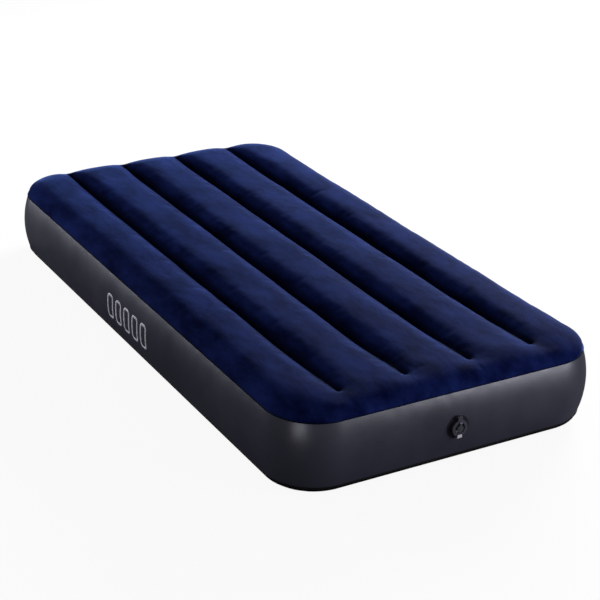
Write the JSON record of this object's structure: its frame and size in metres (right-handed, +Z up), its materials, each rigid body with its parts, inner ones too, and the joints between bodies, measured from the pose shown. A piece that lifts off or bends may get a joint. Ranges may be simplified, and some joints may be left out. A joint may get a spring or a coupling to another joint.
{
  "type": "air mattress",
  "caption": "Single flocked air bed: a low rounded block with lengthwise air chambers, a smooth bulged side wall, inner tension beams and a hinged two-in-one valve at the foot.",
  "frame": {"origin": "middle of the patch of base sheet that rests on the ground, in the middle of the bed", "axes": "+Z up, +Y along the bed from the valve end to the head end, +X across the bed"},
  "size_m": [0.9896, 1.9259, 0.25],
  "materials": {
    "flocked_top": "velvety flock",
    "wall_vinyl": "satin",
    "base_vinyl": "satin",
    "top_weld": "satin",
    "beam_vinyl": "satin",
    "fibres": "matt thread",
    "valve_vinyl": "glossy",
    "valve_clear": "glossy, slightly clear",
    "seal_rubber": "matt",
    "pin_steel": "plain"
  },
  "bodies": {
    "mattress": {"top_sheet": "flocked_top", "side_wall": "wall_vinyl", "base_sheet": "base_vinyl", "top_weld_bead": "top_weld", "base_weld_bead": "base_vinyl", "wall_joint_strip": "wall_vinyl", "beam_1_fibres": "fibres", "beam_2_fibres": "fibres", "beam_3_fibres": "fibres", "beam_4_fibres": "fibres", "beam_1_top_strip": "beam_vinyl", "beam_2_top_strip": "beam_vinyl", "beam_3_top_strip": "beam_vinyl", "beam_4_top_strip": "beam_vinyl", "beam_1_base_strip": "beam_vinyl", "beam_2_base_strip": "beam_vinyl", "beam_3_base_strip": "beam_vinyl", "beam_4_base_strip": "beam_vinyl", "valve_base": "valve_vinyl", "tether_collar": "valve_vinyl"},
    "plug": {"deflation_plug": "valve_clear", "plug_seal_ring": "seal_rubber", "flap_pin": "pin_steel"},
    "cap": {"inflation_cap": "valve_clear"},
    "flap": {"check_flap": "seal_rubber"}
  },
  "joints": [
    {"name": "plug_hinge", "type": "hinge", "parent": "mattress", "child": "plug", "pos_m": [0, -0.9646, 0.0875], "axis": [1, 0, 0], "range_deg": [0, 140]},
    {"name": "cap_hinge", "type": "hinge", "parent": "plug", "child": "cap", "pos_m": [0, -0.9679, 0.1303], "axis": [-1, 0, 0], "range_deg": [0, 150]},
    {"name": "flap_hinge", "type": "hinge", "parent": "plug", "child": "flap", "pos_m": [0, -0.9514, 0.124], "axis": [1, 0, 0], "range_deg": [0, 40], "stiffness_Nm_per_rad": 0.0002, "springref_deg": -5.73}
  ]
}
